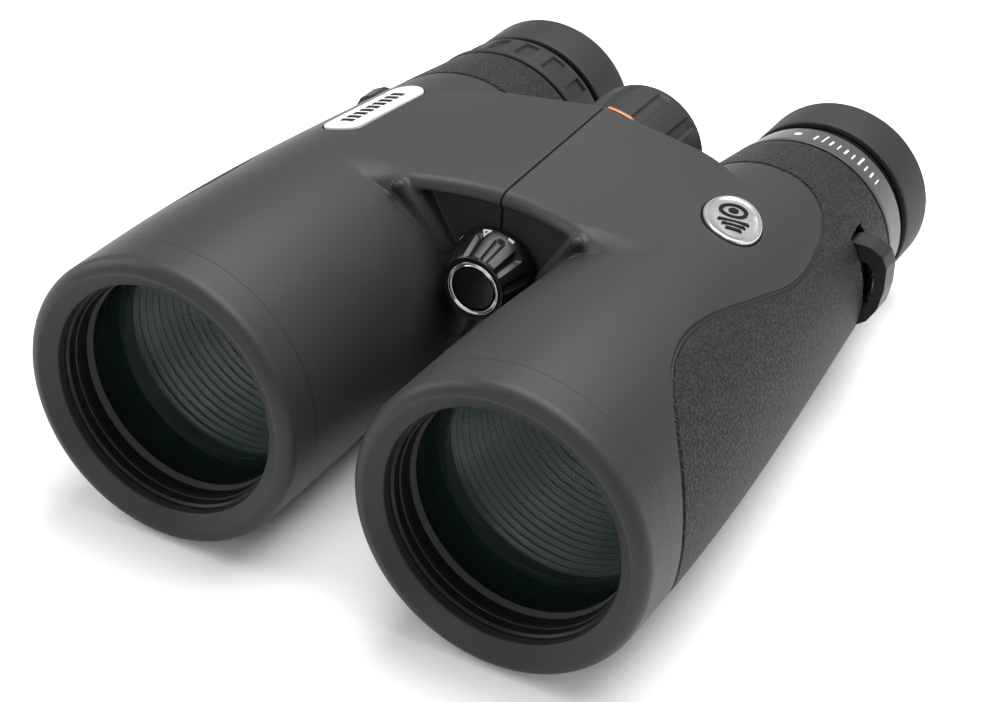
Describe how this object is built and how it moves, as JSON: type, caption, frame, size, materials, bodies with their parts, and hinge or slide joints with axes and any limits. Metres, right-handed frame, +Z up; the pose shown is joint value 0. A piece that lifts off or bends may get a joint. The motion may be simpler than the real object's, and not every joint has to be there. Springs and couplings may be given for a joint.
{
  "type": "roof prism binoculars",
  "caption": "Centre-focus roof-prism binoculars with rubber-armoured barrels on a folding bridge, twist-up eyecups, dioptre ring, strap lugs and a capped tripod thread.",
  "frame": {"origin": "centre of the bounding box at its bottom: on the hinge plane, halfway along the body, at the height of the lowest line of the objective rims", "axes": "+X to the side of the user's left barrel, +Y from the objectives to the eyepieces along the barrels, +Z up"},
  "size_m": [0.1386, 0.167, 0.0626],
  "materials": {
    "rubber_armour": "soft matte charcoal rubber, finely pebbled on the grip areas",
    "chassis": "satin black polycarbonate",
    "black_alloy": "black anodised",
    "index_ring_metal": "dark satin anodised with small white index marks",
    "black_plastic": "matt black, finely ridged inside the barrels",
    "gloss_plastic": "gloss black with small white index marks",
    "coated_glass": "multi-coated, green reflection",
    "prism_glass": "polished",
    "soft_rubber": "soft matte black",
    "steel": "turned",
    "chrome": "polished",
    "badge_silver": null,
    "copper_accent": "copper orange anodised"
  },
  "bodies": {
    "left_barrel": {"left_barrel_tube": "chassis", "left_armour": "rubber_armour", "left_objective_cell": "black_alloy", "left_objective_retainer": "black_plastic", "left_objective_front_lens": "coated_glass", "left_objective_rear_lens": "coated_glass", "left_baffle_tube": "black_plastic", "left_prism_cage": "black_plastic", "left_half_penta_prism": "prism_glass", "left_roof_prism": "prism_glass", "left_eyepiece_tube": "black_alloy", "left_strap_lug": "chassis", "left_ocular_cell": "black_alloy", "left_field_lens": "coated_glass", "left_eye_lens": "coated_glass", "left_index_ring": "index_ring_metal", "oval_badge": "badge_silver", "tripod_socket": "steel", "hinge_sleeve": "steel", "accent_ring": "copper_accent"},
    "right_barrel": {"right_barrel_tube": "chassis", "right_armour": "rubber_armour", "right_objective_cell": "black_alloy", "right_objective_retainer": "black_plastic", "right_objective_front_lens": "coated_glass", "right_objective_rear_lens": "coated_glass", "right_baffle_tube": "black_plastic", "right_prism_cage": "black_plastic", "right_half_penta_prism": "prism_glass", "right_roof_prism": "prism_glass", "right_eyepiece_tube": "black_alloy", "right_strap_lug": "chassis", "pill_badge": "badge_silver"},
    "right_ocular": {"right_ocular_cell": "black_alloy", "right_field_lens": "coated_glass", "right_eye_lens": "coated_glass"},
    "dioptre_ring": {"dioptre_ring": "black_plastic"},
    "focus_wheel": {"focus_wheel_core": "black_alloy", "focus_wheel_grip": "soft_rubber", "focus_screw": "steel", "focus_wheel_cap": "black_plastic"},
    "focus_carrier": {"focus_carrier": "steel", "left_focus_cell": "black_alloy", "left_focus_lens": "coated_glass"},
    "right_focus": {"right_focus_cell": "black_alloy", "right_focus_lens": "coated_glass"},
    "left_cup_guide": {"left_cup_guide": "black_plastic"},
    "right_cup_guide": {"right_cup_guide": "black_plastic"},
    "left_eyecup": {"left_eyecup_sleeve": "black_alloy", "left_eyecup": "soft_rubber"},
    "right_eyecup": {"right_eyecup_sleeve": "black_alloy", "right_eyecup": "soft_rubber"},
    "cap_washer": {"tripod_cap_washer": "soft_rubber"},
    "tripod_cap": {"tripod_cap": "gloss_plastic", "tripod_cap_ring": "chrome", "tripod_cap_disc": "gloss_plastic"}
  },
  "joints": [
    {"name": "bridge_fold", "type": "hinge", "parent": "left_barrel", "child": "right_barrel", "pos_m": [0, 0, 0.04295], "axis": [0, -1, 0], "range_deg": [0, 40]},
    {"name": "focus_turn", "type": "hinge", "parent": "left_barrel", "child": "focus_wheel", "pos_m": [0, 0.0425, 0.04295], "axis": [0, 1, 0], "range_deg": [-60, 480]},
    {"name": "focus_travel", "type": "slide", "parent": "left_barrel", "child": "focus_carrier", "axis": [0, 1, 0], "range_m": [-0.0007, 0.0054]},
    {"name": "right_focus_travel", "type": "slide", "parent": "right_barrel", "child": "right_focus", "axis": [0, 1, 0], "range_m": [-0.0007, 0.0054]},
    {"name": "dioptre_turn", "type": "hinge", "parent": "right_barrel", "child": "dioptre_ring", "pos_m": [-0.038, 0.0605, 0.0313], "axis": [0, 1, 0], "range_deg": [-60, 60]},
    {"name": "ocular_travel", "type": "slide", "parent": "right_barrel", "child": "right_ocular", "axis": [0, 1, 0], "range_m": [-0.0013, 0.0013]},
    {"name": "left_cup_turn", "type": "hinge", "parent": "left_barrel", "child": "left_cup_guide", "pos_m": [0.038, 0.0675, 0.0313], "axis": [0, 1, 0], "range_deg": [0, 100]},
    {"name": "left_cup_slide", "type": "slide", "parent": "left_cup_guide", "child": "left_eyecup", "axis": [0, 1, 0], "range_m": [0, 0.00905]},
    {"name": "right_cup_turn", "type": "hinge", "parent": "right_barrel", "child": "right_cup_guide", "pos_m": [-0.038, 0.0675, 0.0313], "axis": [0, 1, 0], "range_deg": [0, 100]},
    {"name": "right_cup_slide", "type": "slide", "parent": "right_cup_guide", "child": "right_eyecup", "axis": [0, 1, 0], "range_m": [0, 0.00905]},
    {"name": "cap_travel", "type": "slide", "parent": "left_barrel", "child": "cap_washer", "axis": [0, -1, 0], "range_m": [0, 0.00508]},
    {"name": "cap_turn", "type": "hinge", "parent": "cap_washer", "child": "tripod_cap", "pos_m": [0, -0.0225, 0.04295], "axis": [0, -1, 0], "range_deg": [0, 1443.8]}
  ],
  "couplings": [
    {"joint": "focus_travel", "follows": "focus_turn", "m_per_rad": 0.00063662},
    {"joint": "right_focus_travel", "follows": "focus_turn", "m_per_rad": 0.00063662},
    {"joint": "ocular_travel", "follows": "dioptre_turn", "m_per_rad": 0.0012},
    {"joint": "left_cup_slide", "follows": "left_cup_turn", "m_per_rad": 0.0051566},
    {"joint": "right_cup_slide", "follows": "right_cup_turn", "m_per_rad": 0.0051566},
    {"joint": "cap_turn", "follows": "cap_travel", "rad_per_m": 4947.4}
  ]
}
